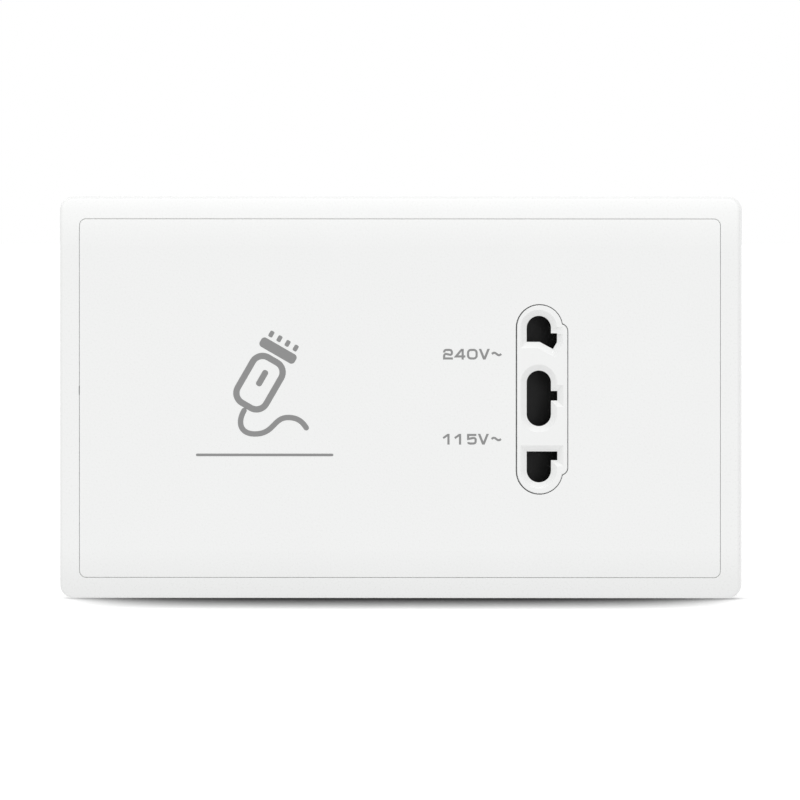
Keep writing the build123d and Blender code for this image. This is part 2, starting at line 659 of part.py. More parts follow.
def housing_shell():
    """The stepped shell of the rear housing, open at the front."""
    body = slab(RectangleRounded(HOUSING_W, HOUSING_H, HOUSING_CORNER_R), FLOOR_BACK_Y, DEEP_Y)
    body -= block((HOUSING_STEP_X, FAR), (SHALLOW_Y, FAR), about(0, FAR))
    shallow = [edge for edge in ends_at(body, SHALLOW_Y) if edge.center().X > HOUSING_STEP_X + NEAR]
    body = fillet(ends_at(body, DEEP_Y) + shallow, HOUSING_EDGE_R)
    inner_w, inner_h = HOUSING_W - 2 * HOUSING_WALL, HOUSING_H - 2 * HOUSING_WALL
    inner = slab(RectangleRounded(inner_w, inner_h, HOUSING_CORNER_R - OVER), -FAR, DEEP_Y - HOUSING_WALL)
    inner_step = block((HOUSING_STEP_X - HOUSING_WALL, FAR), (SHALLOW_Y - HOUSING_WALL, FAR), about(0, FAR))
    return body, inner - inner_step


def rear_housing():
    """The moulded housing, with vents, posts for the transformer, ears and the terminal tower."""
    body, inside = housing_shell()
    body += terminal_tower()
    body -= inside
    body -= tower_cuts()
    for i in range(VENT_COUNT):
        x = CORE_X + (i - (VENT_COUNT - 1) / 2) * VENT_PITCH
        vent_y = sum(VENT_YS) / 2
        slot = Pos(x, vent_y) * SlotOverall(VENT_YS[1] - VENT_YS[0], VENT_W, rotation=90)
        body -= extrude(slot, FAR, both=True)
    for x, z in on_sides(CORE_X, SUPPORT_DX, SUPPORT_Z):
        body += rod(x, z, SUPPORT_R, CORE_YS[1], DEEP_Y - HOUSING_WALL / 2)
    body += housing_ears()
    return body.solid()


def terminal(x):
    """A brass terminal with a blind hole for the wire, a clamp screw's hole and a tab in front."""
    body = block(about(x, TERMINAL_HALF_W), TERMINAL_YS, about(0, TERMINAL_HALF_H))
    body = chamfer(body.edges().filter_by(Axis.Y), TERMINAL_EDGE)
    body += block(about(x, TAB_HALF_W), (TAB_Y, TERMINAL_YS[0]), about(TAB_Z, TAB_T / 2))
    body -= Pos(x, WIRE_Y, WIRE_BORE_L / 2 - TERMINAL_HALF_H) * Cylinder(WIRE_R, WIRE_BORE_L)
    body -= rod(x, 0, CLAMP_R + CLAMP_GAP, WIRE_Y, TERMINAL_YS[1])
    return body.solid()


def terminal_screw(x):
    """A clamp screw, backed out to leave the wire's hole free."""
    head_end = CLAMP_HEAD_Y + CLAMP_HEAD_T
    head = fillet(ends_at(rod(x, 0, CLAMP_HEAD_R, CLAMP_HEAD_Y, head_end), head_end), CLAMP_HEAD_EDGE)
    head -= block(about(x, FAR), (head_end - CLAMP_HEAD_T / 2, FAR), about(0, CLAMP_SLOT_W / 2))
    return (head + rod(x, 0, CLAMP_R, CLAMP_TIP_Y, CLAMP_HEAD_Y)).solid()


def transformer_core():
    """The stack of laminations, with a window on each side of the tongue."""
    half_h = CORE_WINDOW_H / 2 + CORE_LEG
    outline = Rectangle(CORE_W, 2 * half_h)
    for side in (-1, 1):
        outline -= Pos(side * 1.5 * CORE_LEG, 0) * Rectangle(CORE_LEG, CORE_WINDOW_H)
    inset = CORE_LEG / 2
    for x, z in on_sides(0, CORE_W / 2 - inset, half_h - inset):
        outline -= Pos(x, z) * Circle(CORE_HOLE_R)
    return slab(Pos(CORE_X, 0) * outline, *CORE_YS).solid()


def core_strap():
    """The steel strap that holds the laminations, over their top, down the sides and under."""
    half_w, half_h = CORE_W / 2, CORE_WINDOW_H / 2 + CORE_LEG
    ring = Rectangle(CORE_W + 2 * STRAP_T, 2 * (half_h + STRAP_T)) - Rectangle(2 * half_w, 2 * half_h)
    ring -= Pos(0, -half_h) * Rectangle(2 * (half_w - STRAP_LIP), CORE_LEG)
    return slab(Pos(CORE_X, 0) * ring, *about(CORE_MID_Y, STRAP_W / 2)).solid()


def round_tongue(half_x, half_y, corner, low_z, high_z):
    """A block about the transformer's tongue, wound or moulded, between two heights."""
    outline = Pos(CORE_X, CORE_MID_Y) * RectangleRounded(2 * half_x, 2 * half_y, corner)
    return extrude(Plane.XY.offset(low_z) * outline, high_z - low_z)


def tag_places():
    """Where the six solder tags stand in the end flanges."""
    return [(CORE_X + dx, side * TAG_ROOT_Z) for dx in TAG_DXS for side in (-1, 1)]


def bobbin():
    """The coil former: a sleeve round the tongue with three flanges."""
    sleeve = CORE_LEG + BOBBIN_GAP + BOBBIN_WALL
    body = round_tongue(sleeve, sleeve, BOBBIN_CORNER_R, *about(0, BOBBIN_HALF_L))
    for low in (-BOBBIN_HALF_L, -BOBBIN_FLANGE_T / 2, BOBBIN_HALF_L - BOBBIN_FLANGE_T):
        body += round_tongue(BOBBIN_HALF_X, BOBBIN_HALF_Y, FLANGE_END_R, low, low + BOBBIN_FLANGE_T)
    hole = CORE_LEG + BOBBIN_GAP
    body -= block(about(CORE_X, hole), about(CORE_MID_Y, hole), about(0, FAR))
    for x, z in tag_places():
        slot_zs = sorted((z, math.copysign(BOBBIN_HALF_L, z)))
        body -= block(about(x, TAG_HALF_T), about(TAG_Y, TAG_HALF_T), slot_zs)
    return body.solid()


def winding_tags():
    """The six solder tags of the windings."""
    tags = []
    for x, z in tag_places():
        tag_zs = sorted((z, math.copysign(TAG_TIP_Z, z)))
        tags.append(block(about(x, TAG_HALF_T), about(TAG_Y, TAG_HALF_T), tag_zs))
    return tags


def winding(side):
    """One winding, above the middle flange where side is 1 and below it where side is -1."""
    sleeve = CORE_LEG + BOBBIN_GAP + BOBBIN_WALL
    low, high = sorted((side * BOBBIN_FLANGE_T / 2, side * (BOBBIN_HALF_L - BOBBIN_FLANGE_T)))
    outer = round_tongue(COIL_HALF_X, COIL_HALF_Y, COIL_CORNER_R, low, high)
    return (outer - round_tongue(sleeve, sleeve, BOBBIN_CORNER_R, low, high)).solid()


def thermal_cutout():
    """The flat cut-out that lies on the front of the primary winding."""
    back_y = CORE_MID_Y - COIL_HALF_Y
    body = block(about(CORE_X, CUTOUT_HALF_W), (back_y - CUTOUT_T, back_y), CUTOUT_ZS)
    return fillet(body.edges().filter_by(Axis.Y), CUTOUT_EDGE_R)


def lead(points):
    """An insulated wire along straight runs with rounded bends."""
    path = FilletPolyline(*points, radius=LEAD_BEND_R)
    return sweep(Plane(path @ 0, z_dir=path % 0) * Circle(LEAD_R), path=path)


def primary_routes():
    """Live through the switch and the cut-out to the primary winding, and neutral back."""
    switch_x = sum(SWITCH_XS) / 2
    line_z, load_z = SWITCH_ZS["switch_contact_line"], SWITCH_ZS["switch_contact_load"]
    first_tag, last_tag = CORE_X + TAG_DXS[0], CORE_X + TAG_DXS[-1]
    cutout_z = sum(CUTOUT_ZS) / 2
    out_x, in_x = about(CORE_X, CUTOUT_HALF_W)
    return {
        "lead_live": [(LIVE_X, TAB_Y, TAB_Z), (LIVE_X, LIVE_TURN_Y, TAB_Z),
                      (switch_x, SWITCH_LEAD_Y, line_z), (switch_x, SWITCH_TAIL_Y, line_z)],
        "lead_switched": [(switch_x, SWITCH_TAIL_Y, load_z), (switch_x, SWITCH_LEAD_Y, load_z),
                          (PRIMARY_SIDE_X, SWITCH_LEAD_Y, load_z), (PRIMARY_SIDE_X, DIP_Y, 0),
                          (FRONT_X, COIL_FRONT_Y, 0), (in_x + CUTOUT_LEAD_IN, COIL_FRONT_Y, 0),
                          (in_x + CUTOUT_LEAD_IN, CUTOUT_LEAD_Y, cutout_z),
                          (in_x, CUTOUT_LEAD_Y, cutout_z)],
        "lead_primary": [(out_x, CUTOUT_LEAD_Y, cutout_z),
                         (out_x - CUTOUT_LEAD_OUT, CUTOUT_LEAD_Y, cutout_z),
                         (first_tag, COIL_FRONT_Y, cutout_z), (first_tag, COIL_FRONT_Y, UNDER_CORE_Z),
                         (first_tag, TAG_Y, UNDER_CORE_Z), (first_tag, TAG_Y, -TAG_TIP_Z)],
        "lead_neutral": [(NEUTRAL_X, TAB_Y, TAB_Z), (NEUTRAL_X, NEUTRAL_RUN[0], TAB_Z),
                         (NEUTRAL_X, *NEUTRAL_RUN), (PRIMARY_SIDE_X, *NEUTRAL_RUN),
                         (PRIMARY_SIDE_X, NEUTRAL_RUN[0], UNDER_CORE_Z), (last_tag, TAG_Y, UNDER_CORE_Z),
                         (last_tag, TAG_Y, -TAG_TIP_Z)],
    }


def secondary_routes():
    """From the contacts' tails over the core to the secondary winding's tags."""
    tail_x = PIN_X - TAIL_HALF_W
    low_z = CONTACT_ZS["contact_115"]
    starts = {
        "lead_240": [(PIN_X, LEAD_HIGH_Y, CONTACT_ZS["contact_240"] + TAIL_HALF_H)],
        "lead_115": [(tail_x, LEAD_LOW_Y, low_z), (RISE_X["lead_115"], LEAD_LOW_Y, low_z)],
        "lead_common": [(tail_x, LEAD_LOW_Y, 0), (RISE_X["lead_common"], LEAD_LOW_Y, 0)],
    }
    routes = {}
    for (name, start), dx in zip(starts.items(), TAG_DXS):
        x, y = start[-1][:2]
        over_z, tag_x = OVER_CORE_Z[name], CORE_X + dx
        routes[name] = start + [(x, y, over_z), (CORE_SIDE_X, y, over_z), (tag_x, TAG_Y, over_z),
                                (tag_x, TAG_Y, TAG_TIP_Z)]
    return routes


def screw_sets():
    """The self-tapping screws, a set for each pair of pieces that they join."""
    ear_y = FLOOR_BACK_Y + HOUSING_EAR_T
    ears, posts = on_sides(0, HOUSING_EAR_X, HOUSING_EAR_Z), on_sides(BOX_X, POST_DX, POST_DZ)
    return {
        "housing_screws": [screw(x, z, ear_y, HOUSING_SCREW_Y) for x, z in ears],
        "socket_screws": [screw(BOX_X, z, FLANGE_FRONT_Y, SOCKET_SCREW_Y) for z in (-EAR_Z, EAR_Z)],
        "carrier_screws": [screw(x, z, CARRIER_BACK_Y, CARRIER_SCREW_Y) for x, z in posts],
    }


def all_pieces():
    """Every piece by its name. A list is a set of like pieces."""
    pieces = {
        "mounting_frame": mounting_frame(),
        "front_cover": front_cover(),
        "socket_face": socket_face(),
        "shutter": shutter(),
        "shutter_spring": shutter_spring(),
        "switch_bridge": switch_bridge(),
        "contact_carrier": contact_carrier(),
        "contact_lid": contact_lid(),
        "rear_housing": rear_housing(),
        "terminal_screws": [terminal_screw(x) for x in TERMINAL_XS.values()],
        "transformer_core": transformer_core(),
        "core_strap": core_strap(),
        "bobbin": bobbin(),
        "winding_tags": winding_tags(),
        "primary_winding": winding(-1),
        "secondary_winding": winding(1),
        "thermal_cutout": thermal_cutout(),
    }
    pieces |= {name: switch_contact(z) for name, z in SWITCH_ZS.items()}
    pieces |= {name: contact(name) for name in CONTACT_ZS}
    pieces |= {name: terminal(x) for name, x in TERMINAL_XS.items()}
    pieces |= {name: lead(points) for name, points in (primary_routes() | secondary_routes()).items()}
    return pieces | screw_sets()


if __name__ == "__main__":
    os.makedirs("parts", exist_ok=True)
    for name, piece in all_pieces().items():
        if isinstance(piece, list):
            piece = Compound(children=piece)
        export_step(piece, f"parts/{name}.step")
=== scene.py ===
"""The looks of a dual-voltage shaver socket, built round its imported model.

Metres. X runs to the right, Y into the wall and Z up. The plate's face is at the lowest Y.
"""

import json
import math

import bpy
from mathutils import Matrix, Vector


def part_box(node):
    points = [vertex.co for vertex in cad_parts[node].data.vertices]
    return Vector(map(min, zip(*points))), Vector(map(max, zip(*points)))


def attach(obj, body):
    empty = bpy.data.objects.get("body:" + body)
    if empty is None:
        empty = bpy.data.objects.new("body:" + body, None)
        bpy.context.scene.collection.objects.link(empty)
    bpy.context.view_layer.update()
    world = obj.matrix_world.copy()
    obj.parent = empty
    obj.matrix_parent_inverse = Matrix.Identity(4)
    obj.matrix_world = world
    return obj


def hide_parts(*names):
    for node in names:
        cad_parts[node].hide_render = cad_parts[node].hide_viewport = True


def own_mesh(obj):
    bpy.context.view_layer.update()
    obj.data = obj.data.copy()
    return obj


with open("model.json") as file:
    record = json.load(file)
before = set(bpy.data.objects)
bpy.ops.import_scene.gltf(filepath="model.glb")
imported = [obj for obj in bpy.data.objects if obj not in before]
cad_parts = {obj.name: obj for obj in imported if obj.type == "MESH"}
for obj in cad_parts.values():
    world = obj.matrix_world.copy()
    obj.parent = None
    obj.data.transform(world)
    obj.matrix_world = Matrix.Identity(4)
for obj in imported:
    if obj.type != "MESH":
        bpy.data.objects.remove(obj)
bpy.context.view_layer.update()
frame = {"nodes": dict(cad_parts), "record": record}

MM = 0.001
FACE_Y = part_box("front_cover")[0].y
PLATE_FOOT_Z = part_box("mounting_frame")[0].z

# The photograph's frame, measured at the cover's face
IMAGE_PX = 800
PX_PER_MM = 4.678
FACE_CENTRE_PX = (399.8, 398.4)
CAMERA_DISTANCE = 6.0
CAMERA_AZIMUTH = 1.2  # degrees
CAMERA_ELEVATION = 1.4
SENSOR = 36.0  # mm
CLIP_END = 20.0

# Finishes
WHITE = (0.87, 0.875, 0.87)
NOISE_LOW, NOISE_HIGH = 0.3, 0.7  # most of a noise lies between these
RELIEF_STRENGTH = 0.6
DRIFT_SIZE = 18 * MM  # a moulding's colour drifts over this distance
ROUGHNESS_SPREAD = 0.05  # the share by which a moulding's roughness strays
STAIN_SIZE = 2.5 * MM
STAIN = 0.8  # a stain on metal is this much darker
METAL_SMOOTHER, METAL_ROUGHER = 0.08, 0.12  # how far marks take its roughness down and up
SHEET_PITCH = 0.5 * MM
TURN_PITCH = 0.35 * MM

# Print on the cover, drawn in millimetres
INK_RISE = 0.02 * MM
INK_SINK = 0.05 * MM
CAP_H = 2.28
STROKE = 0.45
MITRE_LIMIT = 0.4  # a sharper bend isn't drawn out any further
WELD_DIGITS = 5  # corners that agree to these decimals are one
SIGN_STROKE = 1.35
NUMBER_X = 9.25
NUMBERS = {  # the height of each foot, and where its figures start
    "240V~": (8.32, (0, 2.51, 5.13, 7.50, 10.30)),
    "115V~": (-9.86, (-0.11, 2.37, 5.13, 7.30, 10.23)),
}
SIGN_FOOT = (-32.8, -1.5)
SIGN_TILT = 30.0  # degrees, its head leans to the right
CORD_STROKE = 1.15
CORD_CURVES = (
    ((-33.3, -2.6), (-34.9, -5.4), (-34.0, -7.9), (-30.4, -7.6)),
    ((-30.4, -7.6), (-26.8, -7.3), (-26.9, -3.9), (-23.6, -4.1)),
    ((-23.6, -4.1), (-21.8, -4.2), (-20.8, -5.0), (-20.0, -6.3)),
)
RULE_XS = (-43.6, -14.2)
RULE_Z = -12.1
RULE_T = 0.55

# Light
FRONT_SKY = 1.03
BACK_SKY = 0.55
TOP_SUN = 0.26
SUN_LINE = (0, 0.18, -1)  # down, and a little towards the wall
SUN_SOFTNESS = 60.0  # degrees

# Floor, which falls away gently in front of the plate
FALL = 3.0  # degrees
FALL_START_Y = -6.0 * MM
BEND_STEPS = 12
BEND_STEP = 1.0 * MM
FLOOR_YS = (0.02, 0.05, 0.1, 0.3, 1.0, 4.0)  # behind the wall's plane, and on from the bend
FLOOR_NEAR_XS = tuple(0.02 * i for i in range(11))
FLOOR_FAR_XS = (0.3, 0.5, 1.0, 2.0, 4.0)
FLOOR_GLOW = 0.2

# The floor's painted shadow: its colour is darkened by how closed in each point is, more deeply in
# front of the wall's plane than behind it
SHADOW_REACH = 34.0 * MM
SHADOW_SAMPLES = 16
SHADOW_DEEPEST = 0.5
SHADOW_X = 1.5 * MM  # it lies a little to the right of the plate
SHADOW_HALF_W = 74.0 * MM
SHADOW_FADE = 3.4  # the higher, the later it fades towards its ends
SHADOW_POWER = 4.8
BACK_SHADOW_POWER = 1.6
SHADOW_TURN = 4 * MM  # it changes over this much on each side of that plane


def shader(name):
    """A new material with its node tree and its main shader."""
    material = bpy.data.materials.new(name)
    material.use_nodes = True
    return material, material.node_tree, material.node_tree.nodes["Principled BSDF"]


def add(tree, kind, **inputs):
    """A shader node with some of its inputs set."""
    made = tree.nodes.new(kind)
    for name, value in inputs.items():
        made.inputs[name.replace("_", " ")].default_value = value
    return made


def noise(tree, size, stretch=(1, 1, 1), detail=3.0):
    """A noise with features about size metres across, drawn out along an axis by stretch."""
    place = tree.nodes.new("ShaderNodeTexCoord")
    scale = add(tree, "ShaderNodeMapping", Scale=[1 / (size * factor) for factor in stretch])
    made = add(tree, "ShaderNodeTexNoise", Scale=1.0, Detail=detail)
    tree.links.new(place.outputs["Object"], scale.inputs["Vector"])
    tree.links.new(scale.outputs[0], made.inputs["Vector"])
    return made.outputs[0]


def bands(tree, direction, pitch, wobble=0.0):
    """Stripes that follow one another along an axis, pitch metres apart."""
    place = tree.nodes.new("ShaderNodeTexCoord")
    made = add(tree, "ShaderNodeTexWave", Scale=math.pi / (10 * pitch), Distortion=wobble)
    made.bands_direction = direction
    tree.links.new(place.outputs["Object"], made.inputs["Vector"])
    return made.outputs[0]


def colour_by(tree, surface, mask, low, high, start=NOISE_LOW, end=NOISE_HIGH):
    """Colours a surface from low to high as a mask goes from start to end."""
    ramp = tree.nodes.new("ShaderNodeValToRGB")
    for element, position, colour in zip(ramp.color_ramp.elements, (start, end), (low, high)):
        element.position = position
        element.color = (*colour, 1)
    tree.links.new(mask, ramp.inputs[0])
    tree.links.new(ramp.outputs[0], surface.inputs["Base Color"])


def roughness_by(tree, surface, mask, low, high):
    """Lets a surface's roughness follow a noise between two values."""
    spread = add(tree, "ShaderNodeMapRange", From_Min=NOISE_LOW, From_Max=NOISE_HIGH,
                 To_Min=low, To_Max=high)
    tree.links.new(mask, spread.inputs["Value"])
    tree.links.new(spread.outputs["Result"], surface.inputs["Roughness"])


def relief(tree, surface, mask, depth):
    """Tilts a surface's normals as if a mask raised it, depth metres high."""
    bump = add(tree, "ShaderNodeBump", Strength=RELIEF_STRENGTH, Distance=depth)
    tree.links.new(mask, bump.inputs["Height"])
    tree.links.new(bump.outputs[0], surface.inputs["Normal"])


def shade(colour, factor):
    """A colour times a factor."""
    return [channel * factor for channel in colour]


def plastic(name, colour, roughness, grain, depth, drift=0.97, shine=0.5):
    """A moulding: its colour drifts a little, and its skin has the fine grain of the mould."""
    material, tree, surface = shader(name)
    surface.inputs["IOR"].default_value = 1.5
    surface.inputs["Specular IOR Level"].default_value = shine
    colour_by(tree, surface, noise(tree, DRIFT_SIZE), shade(colour, drift), colour)
    fine = noise(tree, grain)
    roughness_by(tree, surface, fine, (1 - ROUGHNESS_SPREAD) * roughness,
                 (1 + ROUGHNESS_SPREAD) * roughness)
    relief(tree, surface, fine, depth)
    return material


def metal(name, colour, roughness, grain, stretch, depth):
    """Bare or plated metal, with the marks of rolling or drawing along the stretched axis."""
    material, tree, surface = shader(name)
    surface.inputs["Metallic"].default_value = 1.0
    colour_by(tree, surface, noise(tree, STAIN_SIZE), shade(colour, STAIN), colour)
    marks = noise(tree, grain, stretch, detail=5.0)
    roughness_by(tree, surface, marks, roughness - METAL_SMOOTHER, roughness + METAL_ROUGHER)
    relief(tree, surface, marks, depth)
    return material


def laminations(name):
    """The edges of the core's varnished steel sheets, half a millimetre each."""
    material, tree, surface = shader(name)
    surface.inputs["Metallic"].default_value = 0.6
    sheets = bands(tree, "Y", SHEET_PITCH)
    colour_by(tree, surface, sheets, (0.035, 0.035, 0.04), (0.17, 0.17, 0.18), 0.2, 0.6)
    roughness_by(tree, surface, noise(tree, 0.8 * MM, (4, 1, 4)), 0.4, 0.65)
    relief(tree, surface, sheets, 0.06 * MM)
    return material


def wound_tape(name):
    """Amber tape over the turns of the wire, which shows through as fine ridges."""
    material, tree, surface = shader(name)
    surface.inputs["Coat Weight"].default_value = 0.4
    turns = bands(tree, "Z", TURN_PITCH, wobble=0.4)
    colour_by(tree, surface, turns, (0.42, 0.22, 0.03), (0.75, 0.50, 0.10), 0.0, 0.8)
    roughness_by(tree, surface, noise(tree, 1.5 * MM), 0.25, 0.45)
    relief(tree, surface, turns, 0.05 * MM)
    return material


def finishes():
    """The materials of the record's slots, each named after its slot."""
    round_wire, across, along = (1, 1, 1), (6, 1, 1), (1, 1, 6)
    return [
        plastic("face_white", WHITE, 0.28, 0.5 * MM, 0.0007 * MM, 0.992),
        plastic("boss_white", WHITE, 0.26, 0.5 * MM, 0.0007 * MM, 0.992),
        plastic("housing_white", (0.80, 0.80, 0.79), 0.5, 0.25 * MM, 0.012 * MM),
        plastic("carrier_natural", (0.72, 0.71, 0.66), 0.45, 0.3 * MM, 0.01 * MM),
        plastic("shutter_black", (0.014, 0.014, 0.014), 0.45, 0.3 * MM, 0.006 * MM, 0.8,
                shine=0.2),
        plastic("bobbin_nylon", (0.75, 0.73, 0.66), 0.5, 0.3 * MM, 0.01 * MM, 0.93),
        metal("spring_steel", (0.62, 0.62, 0.62), 0.3, 0.1 * MM, round_wire, 0.004 * MM),
        metal("screw_steel", (0.68, 0.67, 0.63), 0.35, 0.15 * MM, round_wire, 0.006 * MM),
        metal("strap_steel", (0.60, 0.60, 0.60), 0.38, 0.2 * MM, across, 0.006 * MM),
        laminations("core_steel"),
        metal("contact_brass", (0.80, 0.62, 0.30), 0.3, 0.15 * MM, along, 0.004 * MM),
        metal("terminal_brass", (0.78, 0.60, 0.30), 0.32, 0.12 * MM, across, 0.006 * MM),
        metal("tag_tin", (0.70, 0.69, 0.66), 0.4, 0.2 * MM, along, 0.006 * MM),
        wound_tape("winding_tape"),
        plastic("cutout_black", (0.05, 0.05, 0.05), 0.35, 0.3 * MM, 0.004 * MM, 0.8),
        plastic("lead_brown", (0.30, 0.15, 0.07), 0.4, 0.4 * MM, 0.006 * MM, 0.9),
        plastic("lead_blue", (0.06, 0.20, 0.50), 0.4, 0.4 * MM, 0.006 * MM, 0.9),
        plastic("lead_white", (0.80, 0.80, 0.80), 0.4, 0.4 * MM, 0.006 * MM, 0.95),
        plastic("ink_grey", (0.262, 0.262, 0.262), 0.5, 0.15 * MM, 0.002 * MM, 0.96),
    ]


def dress_nodes():
    """Gives every node the finish of its slot, in place of the plain one that it came with.

    Returns the finishes by slot.
    """
    for plain in list(bpy.data.materials):
        bpy.data.materials.remove(plain)
    by_slot = {material.name: material for material in finishes()}
    for part in frame["record"]["subparts"]:
        mesh = frame["nodes"][part["node"]].data
        mesh.materials.clear()
        mesh.materials.append(by_slot[part["material_slot"]])
    return by_slot


def return_spring():
    """The shutter's spring, as a piece of its own in place of the imported one."""
    solid = frame["nodes"]["shutter_spring"]
    piece = bpy.data.objects.new("return_spring", solid.data.copy())
    bpy.context.scene.collection.objects.link(piece)
    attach(piece, "root")
    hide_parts("shutter_spring")
    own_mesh(piece)


def arc(centre, radius, start, end, steps=10):
    """Points on an arc between two angles in degrees, counted from +X towards +Z."""
    angles = [math.radians(start + (end - start) * i / steps) for i in range(steps + 1)]
    return [(centre[0] + radius * math.cos(a), centre[1] + radius * math.sin(a)) for a in angles]


def rounded(width, height, radius, middle=(0, 0)):
    """The outline of a rounded rectangle, anticlockwise."""
    points = []
    corners = (((1, 1), 0), ((-1, 1), 90), ((-1, -1), 180), ((1, -1), 270))
    for (side, rise), start in corners:
        x = middle[0] + side * (width / 2 - radius)
        z = middle[1] + rise * (height / 2 - radius)
        points += arc((x, z), radius, start, start + 90, steps=8)
    return points


def offsets(points, width, closed):
    """The left and right edge of a stroke, mitred at its bends."""
    line = [Vector(point) for point in points]
    count = len(line)
    left, right = [], []
    for i, point in enumerate(line):
        before = line[i - 1] if closed or i else None
        after = line[(i + 1) % count] if closed or i < count - 1 else None
        normals = []
        for start, end in ((before, point), (point, after)):
            if start is not None and end is not None:
                run = (end - start).normalized()
                normals.append(Vector((-run.y, run.x)))
        mitre = sum(normals, Vector((0, 0))).normalized()
        reach = width / 2 / max(mitre.dot(normals[0]), MITRE_LIMIT)
        left.append(point + mitre * reach)
        right.append(point - mitre * reach)
    return left, right


def round_end(left, right, steps=8):
    """The half-round face that ends a stroke beyond the line from left to right."""
    middle = (left + right) / 2
    turns = [Matrix.Rotation(math.pi * i / steps, 2) for i in range(steps + 1)]
    return [middle + turn @ (left - middle) for turn in turns]


def stroke(points, width, closed=False, soft=False):
    """The four-cornered faces of a stroke along a line, with half-round ends if it is soft."""
    left, right = offsets(points, width, closed)
    spans = range(len(points) if closed else len(points) - 1)
    ends = [(i, (i + 1) % len(points)) for i in spans]
    faces = [(left[a], right[a], right[b], left[b]) for a, b in ends]
    if soft:
        faces += [round_end(left[0], right[0]), round_end(right[-1], left[-1])]
    return faces


def curve(*pulls, steps=14):
    """Points on a Bezier curve, from its start, two pulls and its end."""
    start, pull_start, pull_end, end = [Vector(point) for point in pulls]
    points = []
    for i in range(steps + 1):
        t = i / steps
        points.append((1 - t) ** 3 * start + 3 * (1 - t) ** 2 * t * pull_start
                      + 3 * (1 - t) * t ** 2 * pull_end + t ** 3 * end)
    return points


def outline(face):
    """A flat face's corners, each of them once, anticlockwise."""
    cut = [tuple(round(value, WELD_DIGITS) for value in point) for point in face]
    points = list(dict.fromkeys(cut))
    area = sum(a[0] * b[1] - b[0] * a[1] for a, b in zip(points, points[1:] + points[:1]))
    return points if area > 0 else points[::-1]


def print_piece(name, faces, ink, x=0.0, z=0.0):
    """A thin print on the cover from flat faces in millimetres, seen from the front."""
    corners = {}
    fronts = [[corners.setdefault(point, len(corners)) for point in outline(face)]
              for face in faces]
    count = len(corners)
    backs = [[corner + count for corner in reversed(face)] for face in fronts]
    runs = dict.fromkeys(run for face in fronts for run in zip(face, face[1:] + face[:1]))
    sides = [(end, start, start + count, end + count) for start, end in runs
             if (end, start) not in runs]
    verts = [((x + right) * MM, y, (z + up) * MM)
             for y in (FACE_Y - INK_RISE, FACE_Y + INK_SINK) for right, up in corners]
    data = bpy.data.meshes.new(name)
    data.from_pydata(verts, [], fronts + backs + sides)
    piece = bpy.data.objects.new(name, data)
    bpy.context.scene.collection.objects.link(piece)
    data.materials.append(ink)
    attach(piece, "root")


def glyph(letter):
    """The flat faces of one wide squared figure, from its left end and its foot."""
    low, high = STROKE / 2, CAP_H - STROKE / 2
    left, right, middle = STROKE / 2, 1.89, CAP_H / 2
    bend = 0.5
    if letter == "0":
        return stroke(rounded(1.83, high - low, 0.62, (1.13, middle)), STROKE, closed=True)
    if letter == "1":
        edge, armpit = 1.04, (1.04, 1.74)
        stem = [(edge, 0), (edge + STROKE, 0), (edge + STROKE, CAP_H), (edge, CAP_H), armpit]
        return [stem, [(edge, CAP_H), (0.02, 1.55), (0.26, 1.2), armpit]]
    if letter == "2":
        top = [(left, 1.5)] + arc((left + bend, high - bend), bend, 180, 90)
        top += arc((right - bend, high - bend), bend, 90, 0)
        down = arc((right - 0.4, middle + 0.25), 0.4, 0, -80)
        down += arc((left + 0.45, 0.75), 0.45, 95, 180)
        return stroke(top + down + [(left, low), (2.1, low)], STROKE)
    if letter == "4":
        stem, bar = 1.68, 0.66
        above = [(stem, bar + low), (stem, high), (1.42, high), (0.25, bar), (2.25, bar)]
        return stroke(above, STROKE) + stroke([(stem, 0), (stem, bar - low)], STROKE)
    if letter == "5":
        belly = arc((right - 0.45, 1.0), 0.4, 90, 0) + arc((right - 0.5, low + 0.45), 0.45, 0, -90)
        back = arc((left + 0.35, low + 0.35), 0.35, 270, 190)
        top = [(1.98, high), (left, high), (left + 0.02, 1.2), (1.3, 1.4)]
        return stroke(top + belly + back, STROKE)
    if letter == "V":
        start, foot, crotch, limb = 0.14, 1.06, (1.32, 0.64), 0.52
        down = [(start, CAP_H), (foot, 0), crotch, (start + limb, CAP_H)]
        up = [(2 * crotch[0] - x, z) for x, z in down]
        return [down, [down[1], up[1], crotch], up]
    start, length, height, swing, steps = 0.15, 2.0, middle + 0.05, 0.26, 20
    shares = [i / steps for i in range(steps + 1)]
    wave = [(start + length * i, height + swing * math.sin(math.tau * i)) for i in shares]
    return stroke(wave, STROKE)


def numbers(ink):
    """The two voltages beside the apertures."""
    for word, (z, starts) in NUMBERS.items():
        faces = []
        for letter, start in zip(word, starts):
            faces += [[(start + x, height) for x, height in face] for face in glyph(letter)]
        print_piece("voltage_" + word[:3], faces, ink, NUMBER_X, z)


